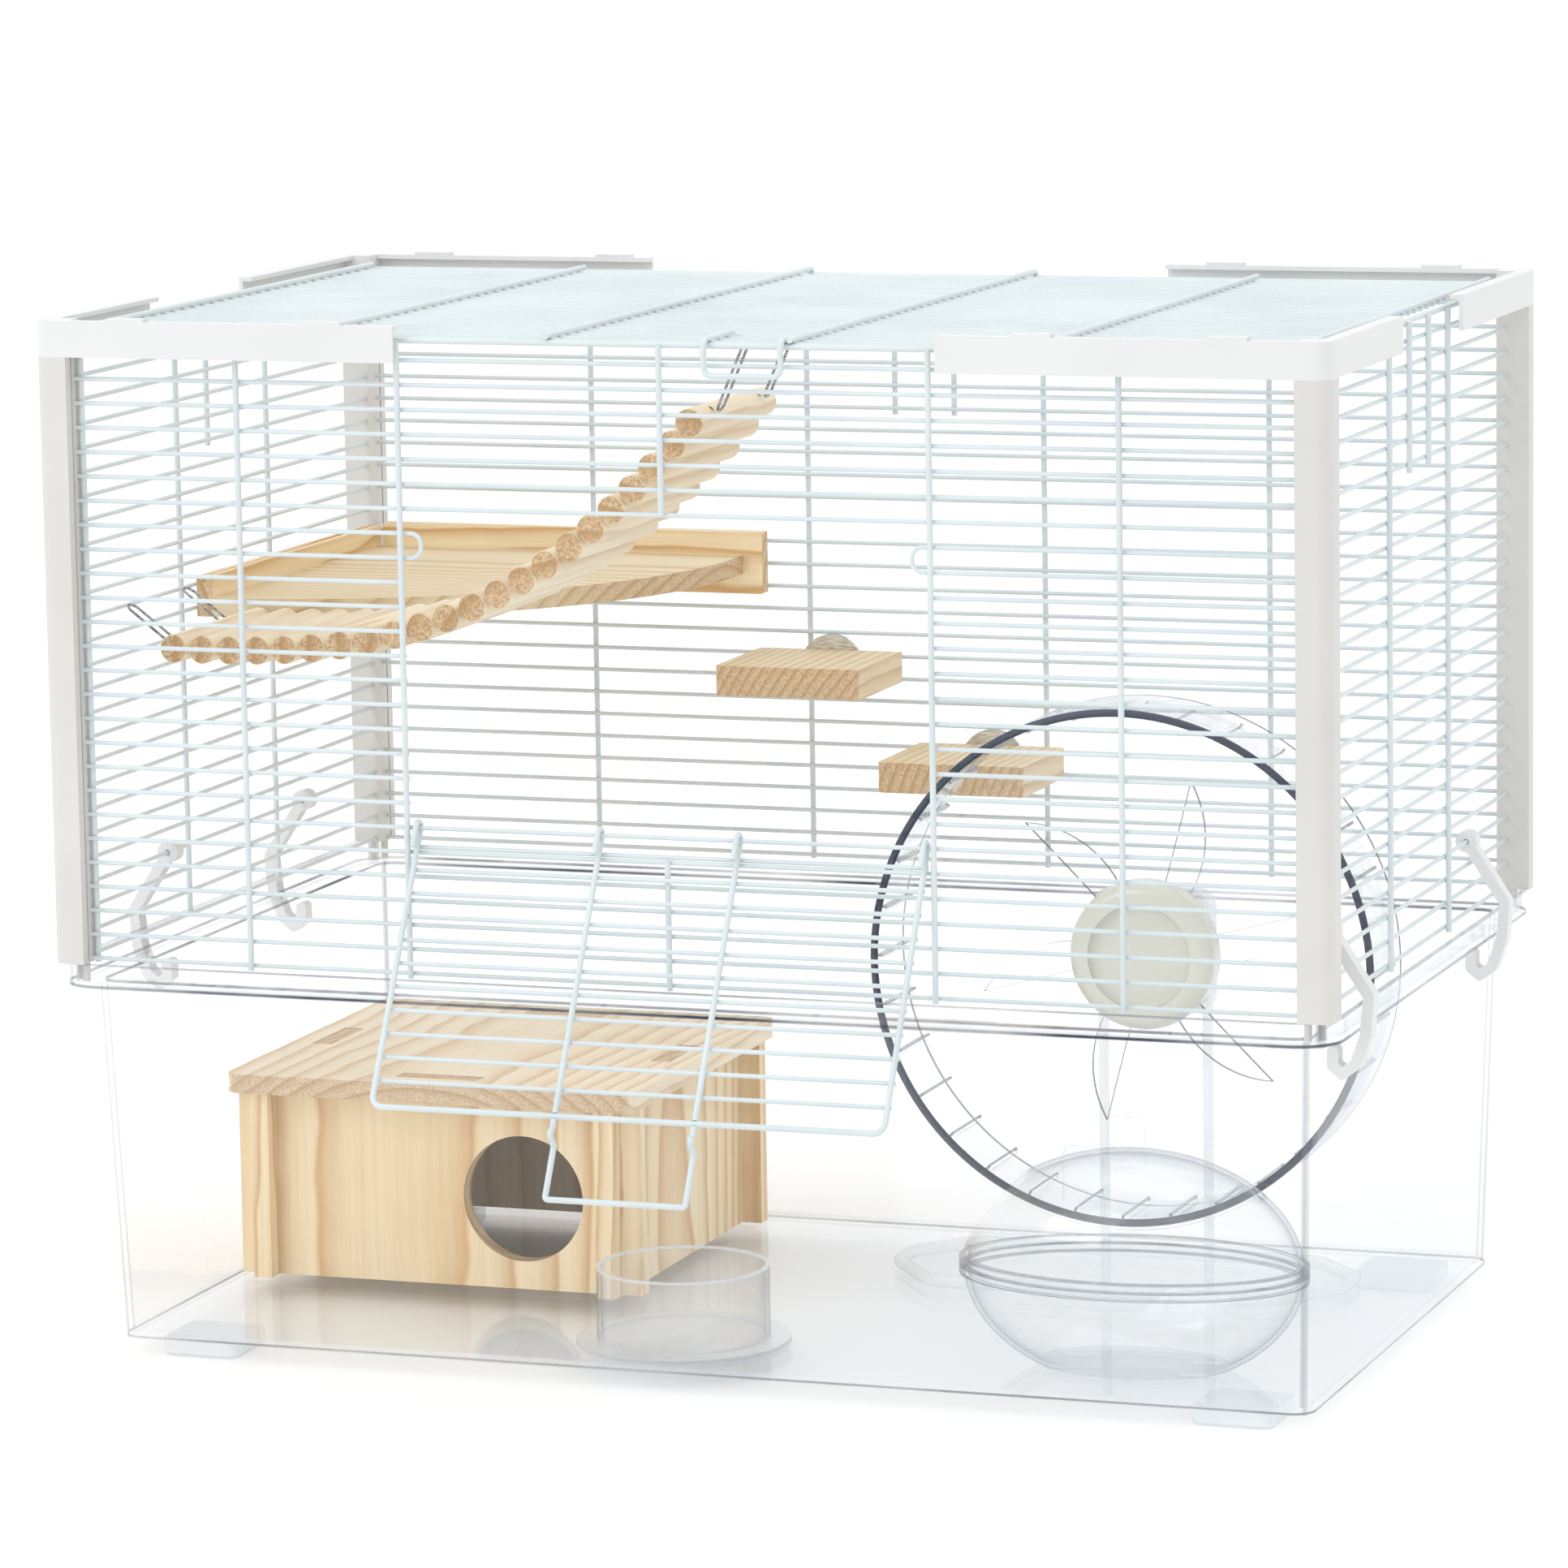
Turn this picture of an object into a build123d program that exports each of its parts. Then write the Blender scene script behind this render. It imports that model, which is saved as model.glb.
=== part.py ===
from build123d import *
import math
import os

# A hamster cage: a clear deep tub with a wire top, a lid, a front door, and the
# wooden and clear plastic furniture inside. Millimetres, X along the long side,
# the door faces -Y, +Z up, the feet stand on z = 0.

# ---- driving dimensions ----
LENGTH = 600.0
DEPTH = 370.0
HEIGHT = 478.6
RUNNING_GAP = 0.3  # air left between two pieces that move past each other
CORNERS = {"front_left": (-1, -1), "front_right": (1, -1), "back_left": (-1, 1), "back_right": (1, 1)}

# Wire work
FINE_WIRE = 2.0
STOUT_WIRE = 2.7
WELD = 0.15  # how far two crossing wires sink into each other
ROW_PITCH = 11.0
FIRST_ROW_Z = 188.0
ROW_COUNT = 26
TOP_WIRE_Z = 471.8
SHORT_UPRIGHT_Z = FIRST_ROW_Z + 19.7 * ROW_PITCH  # foot of the uprights that stop short
ROW_Y = 175.3  # front and back panels, middle of the level wires
ROW_X = 288.8  # side panels
UPRIGHT_Y = ROW_Y + (FINE_WIRE + STOUT_WIRE) / 2 - WELD
UPRIGHT_X = ROW_X + (FINE_WIRE + STOUT_WIRE) / 2 - WELD

# Corner posts and the brackets that cap them
POST_SIDE = 15.5
POST_BOTTOM_Z = 186.3
BRACKET_Z = 462.4
BRACKET_SKIN = 2.0
BRACKET_TOP_WIDTH = 6.5

# Tub
FOOT_HEIGHT = 8.0
FOOT_SIDE = 38.0
FOOT_X = 246.0
FOOT_Y = 138.0
TUB_WALL = 2.5
TUB_FLOOR = 3.0
TUB_BASE_HALF = (282.8, 161.5)
TUB_NECK_HALF = (287.3, 170.3)
RIM_HALF = (299.5, 184.5)
RIM_Z = 175.0
RIM_CORNER = 20.0
RIM_THICK = 2.5
FLOOR_Z = FOOT_HEIGHT + TUB_FLOOR

# Front door, hung on the level wire under the opening
DOOR_MIDDLE_X = -4.0
OPENING_HALF = 123.5
ROW_END = 0.75  # how far a cut row runs past the upright it is welded to
DOOR_AXIS_Z = FIRST_ROW_Z + 6 * ROW_PITCH
OPENING_TOP_ROW = 19
DOOR_OFFSET = 1.0 + RUNNING_GAP + STOUT_WIRE / 2
DOOR_SIDE_HALF = 119.0
DOOR_HANDLE_HALF = 32.5
DOOR_BAR = 130.0
DOOR_HANDLE_END = 166.5
DOOR_FIRST_ROW = 7.3
DOOR_ROWS = 11
DOOR_SWING = 150.4  # from shut to hanging open

# Lid, hinged on the back top wire
LID_CROSS_Z = TOP_WIRE_Z + STOUT_WIRE + RUNNING_GAP
LID_WIRE_Z = LID_CROSS_Z - (FINE_WIRE + STOUT_WIRE) / 2 + WELD
LID_HALF_X = 283.0
LID_FRONT_Y = -177.5
LID_REAR_Y = 166.0
LID_CROSS_X = (-169.8, 169.8)
LID_HINGE_X = (-56.6, 56.6)

# Side latches
LATCH_ROW = 3
LATCH_THICK = 5.0
LATCH_WIDTH = 8.0

# Exercise wheel
WHEEL_X = 158.5
WHEEL_Z = 177.0
WHEEL_RADIUS = 120.5
WHEEL_FRONT_Y = -32.0
WHEEL_BACK_Y = 18.0
WHEEL_SKIN = 2.5
AXLE_RADIUS = 4.0
AXLE_FIT = 0.1
WHEEL_RIBS = 32
WHEEL_LEAVES = 6
HUB_RADIUS = 11.0
CAP_RADIUS = 34.5
CAP_FACE_Y = 0.0
STAND_TUBE = 6.0
STAND_LEG = 4.6

# Wooden furniture
BOARD = 9.0
TENON = 40.0
HOUSE_X = (-278.5, -75.5)
HOUSE_Y = (-40.0, 155.0)
HOUSE_TOP_Z = 100.5
DOORWAY_RADIUS = 30.0
ROOF_SLOT_GAP = 0.6  # round each tenon
SHELF_TOP_Z = 336.0
SHELF_LEFT_X = -279.5
SHELF_BACK_Y = 165.0

# Rod bridge, hung between the left panel and the lid
BRIDGE_Y = (-142.0, -44.0)
BRIDGE_WIRE_Y = (-124.0, -62.0)
BRIDGE_ROD = 13.0
BRIDGE_ROD_GAP = 0.6
BRIDGE_RODS = 22
BRIDGE_START = (-255.0, 326.0)
BRIDGE_RISE = 118.5
BRIDGE_SPAN = 250.0

# Sand bath, a bowl and a cover that meet at a level seam
BATH_X = 186.0
BATH_Y = -103.0
BATH_HALF = (78.0, 50.0)
BATH_WALL = 2.0
BATH_SEAM_Z = 56.0
BATH_TOP_Z = 110.0
BATH_BOWL_CURVE = 53.0  # depth the bowl would reach if its bottom were not flattened
BATH_BAND = 3.5
BATH_DOORWAY_Z = 80.0
BATH_DOORWAY_RADIUS = 18.0

# Food bowl
BOWL_X = -26.0
BOWL_Y = -108.5
BOWL_TOP_Z = 46.5

parts = {}


# ---- shape helpers ----
def block(x, y, z):
    """Box between the two ends given along each axis."""
    centre = Pos((x[0] + x[1]) / 2, (y[0] + y[1]) / 2, (z[0] + z[1]) / 2)
    return centre * Box(x[1] - x[0], y[1] - y[0], z[1] - z[0])


def round_bar(start, end, diameter):
    """Straight round wire, rod or pin from one point to another."""
    way = Vector(*end) - Vector(*start)
    plane = Plane(origin=start, z_dir=way)
    return plane * Cylinder(diameter / 2, way.length, align=(Align.CENTER, Align.CENTER, Align.MIN))


def bent_wire(points, diameter, bend):
    """One round wire through the points, with every corner rounded."""
    path = FilletPolyline(*points, radius=bend)
    section = Plane(origin=path @ 0, z_dir=path % 0) * Circle(diameter / 2)
    return sweep(section, path=path)


def closed_wire(points, diameter, bend):
    """A closed loop of round wire through the points."""
    path = FilletPolyline(*points, radius=bend, close=True)
    section = Plane(origin=path @ 0, z_dir=path % 0) * Circle(diameter / 2)
    return sweep(section, path=path)


def disc_along_y(x, z, radius, y):
    """Round plate standing upright, its axis along Y."""
    return round_bar((x, y[0], z), (x, y[1], z), 2 * radius)


def rounded_plate(half, corner, z):
    """Level plate with rounded corners, centred on the cage."""
    outline = RectangleRounded(2 * half[0], 2 * half[1], corner)
    return Pos(0, 0, z[0]) * extrude(outline, z[1] - z[0])


def row_z(row):
    return FIRST_ROW_Z + row * ROW_PITCH


def upright_wire(x, y, z):
    return round_bar((x, y, z[0]), (x, y, z[1]), STOUT_WIRE)


# ---- tub ----
def tapered_block(base_half, neck_half, corner, z):
    """Rounded block that widens upwards, as the tub does."""
    low = Pos(0, 0, z[0]) * RectangleRounded(2 * base_half[0], 2 * base_half[1], corner)
    high = Pos(0, 0, z[1]) * RectangleRounded(2 * neck_half[0], 2 * neck_half[1], corner)
    return loft([low, high])


def make_tub():
    inner_base = (TUB_BASE_HALF[0] - TUB_WALL, TUB_BASE_HALF[1] - TUB_WALL)
    inner_neck = (TUB_NECK_HALF[0] - TUB_WALL, TUB_NECK_HALF[1] - TUB_WALL)
    rim_top = RIM_Z + RIM_THICK
    wall = tapered_block(TUB_BASE_HALF, TUB_NECK_HALF, 10, (FOOT_HEIGHT, rim_top))
    rim = rounded_plate(RIM_HALF, RIM_CORNER, (RIM_Z, POST_BOTTOM_Z))
    gutter_half = (RIM_HALF[0] - RIM_THICK, RIM_HALF[1] - RIM_THICK)
    gutter = rounded_plate(gutter_half, RIM_CORNER - RIM_THICK, (rim_top, POST_BOTTOM_Z + 1))
    hollow = tapered_block(inner_base, inner_neck, 8, (FLOOR_Z, rim_top + 1))
    tub = wall + rim - gutter - hollow
    # Low pads in the gutter that the wire top stands on
    for x in (-245, 125):
        for y in (-176.5, 176.5):
            tub += Pos(x, y, rim_top + 0.6) * Box(42, 7, 1.4)
    parts["base_tub"] = tub


def make_feet():
    for name, (x_side, y_side) in CORNERS.items():
        foot = Box(FOOT_SIDE, FOOT_SIDE, FOOT_HEIGHT, align=(Align.CENTER, Align.CENTER, Align.MIN))
        foot = fillet(foot.edges().filter_by(Axis.Z), 6)
        foot = chamfer(foot.faces().sort_by(Axis.Z)[0].edges(), 1.5)
        parts["tub_foot_" + name] = Pos(x_side * FOOT_X, y_side * FOOT_Y, 0) * foot


# ---- wire panels ----
def make_front_panel():
    left = DOOR_MIDDLE_X - OPENING_HALF
    right = DOOR_MIDDLE_X + OPENING_HALF
    end = LENGTH / 2 - POST_SIDE
    wires = [round_bar((-end, -ROW_Y, TOP_WIRE_Z), (end, -ROW_Y, TOP_WIRE_Z), STOUT_WIRE)]
    for row in range(ROW_COUNT):
        z = row_z(row)
        if DOOR_AXIS_Z < z < row_z(OPENING_TOP_ROW):
            spans = [(-end, left + ROW_END), (right - ROW_END, end)]
        else:
            spans = [(-end, end)]
        for x0, x1 in spans:
            wires.append(round_bar((x0, -ROW_Y, z), (x1, -ROW_Y, z), FINE_WIRE))
    full = (FIRST_ROW_Z - FINE_WIRE, TOP_WIRE_Z)
    for x in (-205, left, right, 205):
        wires.append(upright_wire(x, -UPRIGHT_Y, full))
    # Short uprights stiffen the rows above and below the opening
    above = (row_z(OPENING_TOP_ROW), TOP_WIRE_Z)
    below = (full[0], row_z(5) + FINE_WIRE / 2)
    for z in (above, below):
        wires.append(upright_wire(DOOR_MIDDLE_X, -UPRIGHT_Y, z))
    inner_y = -ROW_Y + (FINE_WIRE + STOUT_WIRE) / 2 - WELD
    for side in (-1, 1):
        wires.append(upright_wire(side * (end - 2), inner_y, (full[0], TOP_WIRE_Z - STOUT_WIRE)))
    parts["front_panel"] = Compound(wires)


def make_guide_loops():
    """Wire staples at the opening's sides that the shut door rests on."""
    loops = []
    reach = 9.0
    low = row_z(17)
    high = row_z(18)
    for side in (-1, 1):
        start_x = DOOR_MIDDLE_X + side * (OPENING_HALF - ROW_END)
        end_x = DOOR_MIDDLE_X + side * (OPENING_HALF - reach)
        points = [
            (start_x, -ROW_Y, low),
            (end_x, -ROW_Y, low),
            (end_x, -ROW_Y, high),
            (start_x, -ROW_Y, high),
        ]
        loops.append(bent_wire(points, FINE_WIRE, 5))
    parts["door_guide_loops"] = Compound(loops)


def make_back_panel():
    end = LENGTH / 2 - POST_SIDE
    wires = [round_bar((-end, ROW_Y, TOP_WIRE_Z), (end, ROW_Y, TOP_WIRE_Z), STOUT_WIRE)]
    for row in range(ROW_COUNT):
        z = row_z(row)
        wires.append(round_bar((-end, ROW_Y, z), (end, ROW_Y, z), FINE_WIRE))
    for x in (-172, -60, 60, 172):
        wires.append(upright_wire(x, UPRIGHT_Y, (FIRST_ROW_Z - FINE_WIRE, TOP_WIRE_Z)))
    for x in (-15, 15):
        wires.append(upright_wire(x, UPRIGHT_Y, (SHORT_UPRIGHT_Z, TOP_WIRE_Z)))
    parts["back_panel"] = Compound(wires)


def make_side_panel(name, side):
    end = DEPTH / 2 - POST_SIDE
    x = side * ROW_X
    upright_x = side * UPRIGHT_X
    wires = [round_bar((x, -end, TOP_WIRE_Z), (x, end, TOP_WIRE_Z), STOUT_WIRE)]
    for row in range(ROW_COUNT):
        z = row_z(row)
        wires.append(round_bar((x, -end, z), (x, end, z), FINE_WIRE))
    for y in (-52, 52):
        wires.append(upright_wire(upright_x, y, (FIRST_ROW_Z - FINE_WIRE, TOP_WIRE_Z)))
    for y in (-17, 17):
        wires.append(upright_wire(upright_x, y, (SHORT_UPRIGHT_Z, TOP_WIRE_Z)))
    parts[name] = Compound(wires)


# ---- corner posts and brackets ----
def corner_block(x_side, y_side, side, corner, z):
    """Upright piece with a rounded outer edge, placed in one corner of the cage."""
    piece = block((0, side), (0, side), z)
    outer_edge = piece.edges().filter_by(Axis.Z).sort_by(lambda e: e.center().X + e.center().Y)[-1]
    piece = fillet(outer_edge, corner)
    piece = Pos(LENGTH / 2 - side, DEPTH / 2 - side, 0) * piece
    if x_side < 0:
        piece = mirror(piece, about=Plane.YZ)
    if y_side < 0:
        piece = mirror(piece, about=Plane.XZ)
    return piece


def make_post(name, x_side, y_side):
    post = corner_block(x_side, y_side, POST_SIDE, 7, (POST_BOTTOM_Z, BRACKET_Z))
    # A groove down the inside face, where the panel ends are gripped
    groove_x = x_side * (LENGTH / 2 - POST_SIDE)
    groove_y = y_side * (DEPTH / 2 - POST_SIDE + 9.5)
    post_length = BRACKET_Z - POST_BOTTOM_Z
    post -= Pos(groove_x, groove_y, POST_BOTTOM_Z + post_length / 2) * Box(3, 1.6, post_length)
    pins = []
    for along_x, along_y in ((2.5, 7.0), (7.5, 2.2)):
        x = x_side * (LENGTH / 2 - POST_SIDE + along_x)
        y = y_side * (DEPTH / 2 - POST_SIDE + along_y)
        pins.append(round_bar((x, y, RIM_Z + RIM_THICK), (x, y, POST_BOTTOM_Z), 3.5))
    parts[name] = Compound([post] + pins)


def bracket_arm(x, y, skin_on):
    """Hollow rail: an outer skin and a narrow top skin. skin_on tells which side is outside."""
    along_x = (x[1] - x[0]) > (y[1] - y[0])
    top = block(x, y, (HEIGHT - BRACKET_SKIN, HEIGHT))
    if along_x:
        outer = (y[1] - BRACKET_SKIN, y[1]) if skin_on > 0 else (y[0], y[0] + BRACKET_SKIN)
        skin = block(x, outer, (BRACKET_Z, HEIGHT))
    else:
        outer = (x[1] - BRACKET_SKIN, x[1]) if skin_on > 0 else (x[0], x[0] + BRACKET_SKIN)
        skin = block(outer, y, (BRACKET_Z, HEIGHT))
    return top + skin


def make_bracket(name, x_side, y_side, x_reach, y_reach, tabs):
    """Corner cap with an arm along X and one along Y, which reach in to x_reach and y_reach."""
    piece = corner_block(x_side, y_side, POST_SIDE, 7, (BRACKET_Z, HEIGHT))
    x_end = LENGTH / 2 - POST_SIDE
    y_end = DEPTH / 2 - POST_SIDE
    x_span = sorted((x_side * x_end, x_side * x_reach))
    y_band = sorted((y_side * DEPTH / 2, y_side * (DEPTH / 2 - BRACKET_TOP_WIDTH)))
    piece += bracket_arm(x_span, y_band, y_side)
    y_span = sorted((y_side * y_end, y_side * y_reach))
    x_band = sorted((x_side * LENGTH / 2, x_side * (LENGTH / 2 - BRACKET_TOP_WIDTH)))
    piece += bracket_arm(x_band, y_span, x_side)
    for tab_x in tabs:
        piece += block((tab_x - 9, tab_x + 9), y_band, (HEIGHT - BRACKET_SKIN, HEIGHT + 1.4))
    parts[name] = piece


def make_corners():
    # Where each bracket's two arms end, and where its lugs stand along X
    reach = {
        "front_left": (126, 62, (-255, -160)),
        "front_right": (125, 62, (168, 255)),
        "back_left": (141, 45, (-255, -160)),
        "back_right": (121, 45, (150, 255)),
    }
    for name, (x_side, y_side) in CORNERS.items():
        make_post("corner_post_" + name, x_side, y_side)
        make_bracket("corner_bracket_" + name, x_side, y_side, *reach[name])


# ---- lid ----
def make_lid():
    # The level wires hang between the top wires, from the stout cross wires that rest on them
    first_y = -ROW_Y + (FINE_WIRE + STOUT_WIRE) / 2 + RUNNING_GAP
    row_count = int((LID_REAR_Y - first_y) // ROW_PITCH) + 1
    wires = []
    for row in range(row_count):
        y = first_y + row * ROW_PITCH
        wires.append(round_bar((-LID_HALF_X, y, LID_WIRE_Z), (LID_HALF_X, y, LID_WIRE_Z), FINE_WIRE))
    edge_x = LID_HALF_X - STOUT_WIRE / 2
    for x in (-edge_x, *LID_CROSS_X, *LID_HINGE_X, edge_x):
        wires.append(round_bar((x, LID_FRONT_Y, LID_CROSS_Z), (x, LID_REAR_Y, LID_CROSS_Z), STOUT_WIRE))
    parts["lid_panel"] = Compound(wires)


def make_lid_hinge_loops():
    """The two cross wires that run on and curl round the back top wire."""
    curl = LID_CROSS_Z - TOP_WIRE_Z
    loops = []
    for x in LID_HINGE_X:
        straight = Line((x, LID_REAR_Y, LID_CROSS_Z), (x, ROW_Y, LID_CROSS_Z))
        hook = ThreePointArc(
            (x, ROW_Y, LID_CROSS_Z),
            (x, ROW_Y + curl, TOP_WIRE_Z),
            (x, ROW_Y, TOP_WIRE_Z - curl),
        )
        path = Wire([straight, hook])
        section = Plane(origin=path @ 0, z_dir=path % 0) * Circle(STOUT_WIRE / 2)
        loops.append(sweep(section, path=path))
    parts["lid_hinge_loops"] = Compound(loops)


def make_lid_latch():
    """U handle that drops over the front top wire."""
    drop_y = -ROW_Y - 5.2
    low_z = 459.0
    left = 18.0
    right = 53.5
    back_y = -ROW_Y + 3 * ROW_PITCH
    points = [
        (left, back_y, LID_CROSS_Z),
        (left, drop_y, LID_CROSS_Z),
        (left, drop_y, low_z),
        (right, drop_y, low_z),
        (right, drop_y, LID_CROSS_Z),
        (right, back_y, LID_CROSS_Z),
    ]
    parts["lid_latch"] = bent_wire(points, STOUT_WIRE, 4)


# ---- front door ----
def swing_open(shape):
    """Turn a piece drawn with the door shut to where the open door hangs."""
    axis = Axis((0, -ROW_Y, DOOR_AXIS_Z), (1, 0, 0))
    return shape.rotate(axis, DOOR_SWING)


def make_door():
    plane_y = -ROW_Y - DOOR_OFFSET
    row_y = plane_y - (FINE_WIRE + STOUT_WIRE) / 2 + WELD
    rows = []
    for row in range(DOOR_ROWS):
        z = DOOR_AXIS_Z + DOOR_FIRST_ROW + row * ROW_PITCH
        x0 = DOOR_MIDDLE_X - DOOR_SIDE_HALF - 1
        x1 = DOOR_MIDDLE_X + DOOR_SIDE_HALF + 1
        rows.append(swing_open(round_bar((x0, row_y, z), (x1, row_y, z), FINE_WIRE)))
    parts["front_door_grid"] = Compound(rows)
    frame = [swing_open(door_loop_wire(side * DOOR_SIDE_HALF, DOOR_BAR - 6)) for side in (-1, 1)]
    bar_z = DOOR_AXIS_Z + DOOR_BAR
    left = DOOR_MIDDLE_X - DOOR_SIDE_HALF
    right = DOOR_MIDDLE_X + DOOR_SIDE_HALF
    corner = [
        (left, plane_y, bar_z - 6),
        (left, plane_y, bar_z),
        (right, plane_y, bar_z),
        (right, plane_y, bar_z - 6),
    ]
    frame.append(swing_open(bent_wire(corner, STOUT_WIRE, 5)))
    for side in (-1, 1):
        frame.append(swing_open(door_loop_wire(side * DOOR_HANDLE_HALF, DOOR_BAR - STOUT_WIRE / 2)))
    frame.append(swing_open(door_handle_wire()))
    parts["front_door_frame"] = Compound(frame)


def door_loop_wire(from_middle, length):
    """Door upright whose end is folded round the hinge wire."""
    x = DOOR_MIDDLE_X + from_middle
    front_y = -ROW_Y - DOOR_OFFSET
    back_y = -ROW_Y + DOOR_OFFSET
    tail = 10.0
    upright = Line((x, front_y, DOOR_AXIS_Z + length), (x, front_y, DOOR_AXIS_Z))
    fold = ThreePointArc(
        (x, front_y, DOOR_AXIS_Z),
        (x, -ROW_Y, DOOR_AXIS_Z - DOOR_OFFSET),
        (x, back_y, DOOR_AXIS_Z),
    )
    tail_line = Line((x, back_y, DOOR_AXIS_Z), (x, back_y, DOOR_AXIS_Z + tail))
    path = Wire([upright, fold, tail_line])
    section = Plane(origin=path @ 0, z_dir=path % 0) * Circle(STOUT_WIRE / 2)
    return sweep(section, path=path)


def door_handle_wire():
    """The sprung handle: two kinked legs that snap under a wire, joined by a U."""
    plane_y = -ROW_Y - DOOR_OFFSET
    points = []
    for side, order in ((-1, 1), (1, -1)):
        x = DOOR_MIDDLE_X + side * DOOR_HANDLE_HALF
        leg = [
            (x, plane_y, DOOR_AXIS_Z + DOOR_BAR + STOUT_WIRE / 2),
            (x, plane_y, DOOR_AXIS_Z + DOOR_BAR + 5.5),
            (x, plane_y + 2.6, DOOR_AXIS_Z + DOOR_BAR + 9),
            (x, plane_y - 5, DOOR_AXIS_Z + DOOR_BAR + 12),
            (x, plane_y - 5, DOOR_AXIS_Z + DOOR_HANDLE_END),
        ]
        points += leg[::order]
    return bent_wire(points, STOUT_WIRE, 1.5)


# ---- side latches ----
def make_latch(name, x_side, y):
    """Plastic J hook that hangs on a side wire and grips under the tub's rim."""
    eye = (ROW_X, row_z(LATCH_ROW))
    spine = [eye, (307, 193), (305.5, 176), (301, 163), (295, 158.5), (290.8, 162), (290.8, 168)]
    section = Sketch()
    for (x0, z0), (x1, z1) in zip(spine[:-1], spine[1:]):
        span = math.hypot(x1 - x0, z1 - z0)
        tilt = math.degrees(math.atan2(z1 - z0, x1 - x0))
        stretch = SlotCenterToCenter(span, LATCH_THICK)
        section += Pos((x0 + x1) / 2, (z0 + z1) / 2) * Rot(0, 0, tilt) * stretch
    section += Pos(*eye) * Circle(LATCH_THICK)
    section -= Pos(*eye) * Circle(FINE_WIRE / 2 + RUNNING_GAP)
    hook = Plane.XZ * extrude(section, LATCH_WIDTH / 2, both=True)
    hook = Pos(0, y, 0) * hook
    if x_side < 0:
        hook = mirror(hook, about=Plane.YZ)
    parts[name] = hook


def make_latches():
    make_latch("latch_right_front", 1, -147)
    make_latch("latch_right_rear", 1, 97)
    make_latch("latch_left_front", -1, -77)
    make_latch("latch_left_rear", -1, 82)


# ---- corner shelf ----
def make_shelf():
    """Quarter round board on a back rail and a side rail."""
    front_y = -42.0
    right_x = -90.0
    corner = (SHELF_LEFT_X, SHELF_BACK_Y)
    front_end = (SHELF_LEFT_X, front_y)
    right_end = (right_x, SHELF_BACK_Y)
    edge = ThreePointArc(front_end, (-129, 31), right_end)
    outline = Line(right_end, corner) + Line(corner, front_end) + edge
    parts["shelf_board"] = Pos(0, 0, SHELF_TOP_Z - BOARD) * extrude(make_face(outline), BOARD)
    back_rail = block((-279, -80), (SHELF_BACK_Y, 173), (SHELF_TOP_Z - 19, SHELF_TOP_Z + 11))
    parts["shelf_back_rail"] = fillet(back_rail.edges().filter_by(Axis.Y), 1)
    rail_x = (SHELF_LEFT_X - 8, SHELF_LEFT_X)
    rail_y = (front_y, SHELF_BACK_Y - 1)
    side_rail = block(rail_x, rail_y, (SHELF_TOP_Z - BOARD, SHELF_TOP_Z + 10))
    # A groove along its top takes the side panel's wire
    groove_x = (SHELF_LEFT_X - 5.2, SHELF_LEFT_X - 3.6)
    side_rail -= block(groove_x, rail_y, (SHELF_TOP_Z + 7, SHELF_TOP_Z + 10))
    parts["shelf_side_rail"] = side_rail


# ---- rod bridge ----
def bridge_point(distance):
    """Middle of the bridge at a distance along it, rising like a hanging chain."""
    x, z = BRIDGE_START
    level_end = x + 10.0
    step = 0.5
    walked = 0.0
    while walked < distance:
        nearer = x + step
        along = max(0.0, (nearer - level_end) / BRIDGE_SPAN)
        higher = BRIDGE_START[1] + BRIDGE_RISE * along**2.7
        walked += math.hypot(step, higher - z)
        x = nearer
        z = higher
    return x, z


def make_bridge():
    spots = [bridge_point(rod * (BRIDGE_ROD + BRIDGE_ROD_GAP)) for rod in range(BRIDGE_RODS)]
    rods = []
    for index, (x, z) in enumerate(spots):
        before = spots[max(index - 1, 0)]
        after = spots[min(index + 1, BRIDGE_RODS - 1)]
        slope = Vector(after[0] - before[0], 0, after[1] - before[1]).normalized()
        rod = round_bar((x, BRIDGE_Y[0], z), (x, BRIDGE_Y[1], z), BRIDGE_ROD)
        rod = chamfer(rod.edges(), 0.4)
        for y in BRIDGE_WIRE_Y:
            middle = Vector(x, y, z)
            rod -= round_bar(middle - slope * BRIDGE_ROD, middle + slope * BRIDGE_ROD, 3.2)
        rods.append(rod)
    parts["bridge_rods"] = Compound(rods)
    wires = []
    for y in BRIDGE_WIRE_Y:
        path = Spline(*[(x, y, z) for x, z in spots])
        section = Plane(origin=path @ 0, z_dir=path % 0) * Circle(0.7)
        wires.append(sweep(section, path=path))
    parts["bridge_wires"] = Compound(wires)
    lower_eye = (spots[0][0] - 8.5, spots[0][1] + 1)
    upper_eye = (spots[-1][0] + 8.0, spots[-1][1] + 4)
    parts["bridge_hooks_lower"] = bridge_hooks(lower_eye, (-284.5, 343))
    under_lid = (18.4, LID_WIRE_Z - FINE_WIRE - 1)
    parts["bridge_hooks_upper"] = bridge_hooks(upper_eye, under_lid)


def bridge_hooks(start, end):
    """A pair of flattened oval spring hooks from the bridge's end to the cage wires."""
    way = Vector(end[0] - start[0], 0, end[1] - start[1])
    length = max(way.length, 12.0)
    tilt = math.degrees(math.atan2(end[1] - start[1], end[0] - start[0]))
    middle = ((start[0] + end[0]) / 2, (start[1] + end[1]) / 2)
    loops = []
    half = length / 2
    width = 4.0
    for y in BRIDGE_WIRE_Y:
        corners = [(-half, -width, 0), (half, -width, 0), (half, width, 0), (-half, width, 0)]
        loop = closed_wire(corners, 1.3, 3.9)
        loops.append(Pos(middle[0], y, middle[1]) * Rot(0, -tilt, 0) * loop)
    return Compound(loops)


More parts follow.
